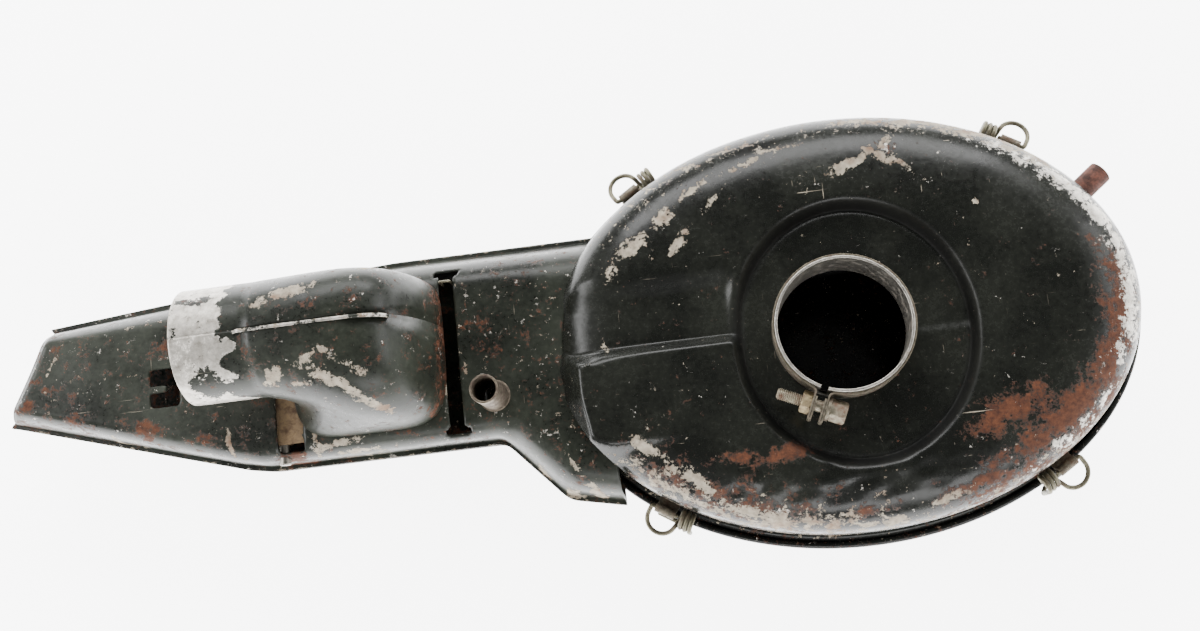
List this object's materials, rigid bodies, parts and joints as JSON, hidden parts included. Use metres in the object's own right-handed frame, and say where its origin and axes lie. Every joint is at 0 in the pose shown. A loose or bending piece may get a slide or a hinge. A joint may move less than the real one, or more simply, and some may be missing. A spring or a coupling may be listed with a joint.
{
  "type": "engine air filter housing",
  "caption": "Oval pressed-steel air filter housing with a clamped round neck, a flat intake duct with a warm-air horn, and a lid held by wire clips.",
  "frame": {"origin": "centre of the carburettor neck's bore at its mouth", "axes": "+Z out of the neck, away from the lid; -X along the duct to its open end; +Y across the casing"},
  "size_m": [0.5021, 0.1862, 0.1105],
  "materials": {
    "black_paint": "worn satin black paint on pressed steel",
    "bare_steel": "bare pressed steel",
    "zinc": "dull zinc plating with rust",
    "rusty_steel": "rusted steel",
    "spring_steel": "olive passivated spring wire",
    "rubber": "moulded rubber",
    "paper": "resin-treated filter paper"
  },
  "bodies": {
    "housing": {"casing_shell": "black_paint", "carb_neck": "bare_steel", "clamp_band": "zinc", "clamp_bolt": "zinc", "clamp_nut": "bare_steel", "clamp_washer": "bare_steel", "duct_front": "black_paint", "duct_back": "black_paint", "horn_north": "black_paint", "horn_south": "black_paint", "vent_pipe": "bare_steel", "breather_pipe": "rusty_steel", "slot_clip": "spring_steel", "clip_bracket_1": "zinc", "clip_bracket_2": "zinc", "clip_bracket_3": "zinc", "clip_bracket_4": "zinc"},
    "lid": {"lid": "black_paint", "lid_gasket": "rubber"},
    "filter": {"filter_paper": "paper", "filter_seal_neck": "rubber", "filter_seal_lid": "rubber", "filter_mesh": "bare_steel"},
    "flap": {"flap_plate": "rusty_steel", "flap_shaft": "zinc"},
    "clip_1": {"clip_wire_1": "spring_steel"},
    "clip_2": {"clip_wire_2": "spring_steel"},
    "clip_3": {"clip_wire_3": "spring_steel"},
    "clip_4": {"clip_wire_4": "spring_steel"}
  },
  "joints": [
    {"name": "lid_lift", "type": "slide", "parent": "housing", "child": "lid", "axis": [0, 0, -1], "range_m": [0, 0.042]},
    {"name": "filter_lift", "type": "slide", "parent": "housing", "child": "filter", "axis": [0, 0, -1], "range_m": [0, 0.021]},
    {"name": "flap_turn", "type": "hinge", "parent": "housing", "child": "flap", "pos_m": [-0.24, 0.014, -0.035], "axis": [0, 1, 0], "range_deg": [0, 24.5]},
    {"name": "clip_swing_1", "type": "hinge", "parent": "housing", "child": "clip_1", "pos_m": [0.08453, 0.07651, -0.043], "axis": [0.8431, -0.5377, 0], "range_deg": [0, 115.1]},
    {"name": "clip_swing_2", "type": "hinge", "parent": "housing", "child": "clip_2", "pos_m": [-0.08053, 0.07651, -0.043], "axis": [0.8431, 0.5377, 0], "range_deg": [0, 115.1]},
    {"name": "clip_swing_3", "type": "hinge", "parent": "housing", "child": "clip_3", "pos_m": [-0.08053, -0.06251, -0.043], "axis": [-0.8431, 0.5377, 0], "range_deg": [0, 115.1]},
    {"name": "clip_swing_4", "type": "hinge", "parent": "housing", "child": "clip_4", "pos_m": [0.08453, -0.06251, -0.043], "axis": [-0.8431, -0.5377, 0], "range_deg": [0, 115.1]}
  ],
  "couplings": [
    {"joint": "filter_lift", "follows": "lid_lift", "ratio": 0.5},
    {"joint": "clip_swing_1", "follows": "lid_lift", "rad_per_m": 47.79},
    {"joint": "clip_swing_2", "follows": "lid_lift", "rad_per_m": 47.79},
    {"joint": "clip_swing_3", "follows": "lid_lift", "rad_per_m": 47.79},
    {"joint": "clip_swing_4", "follows": "lid_lift", "rad_per_m": 47.79}
  ]
}
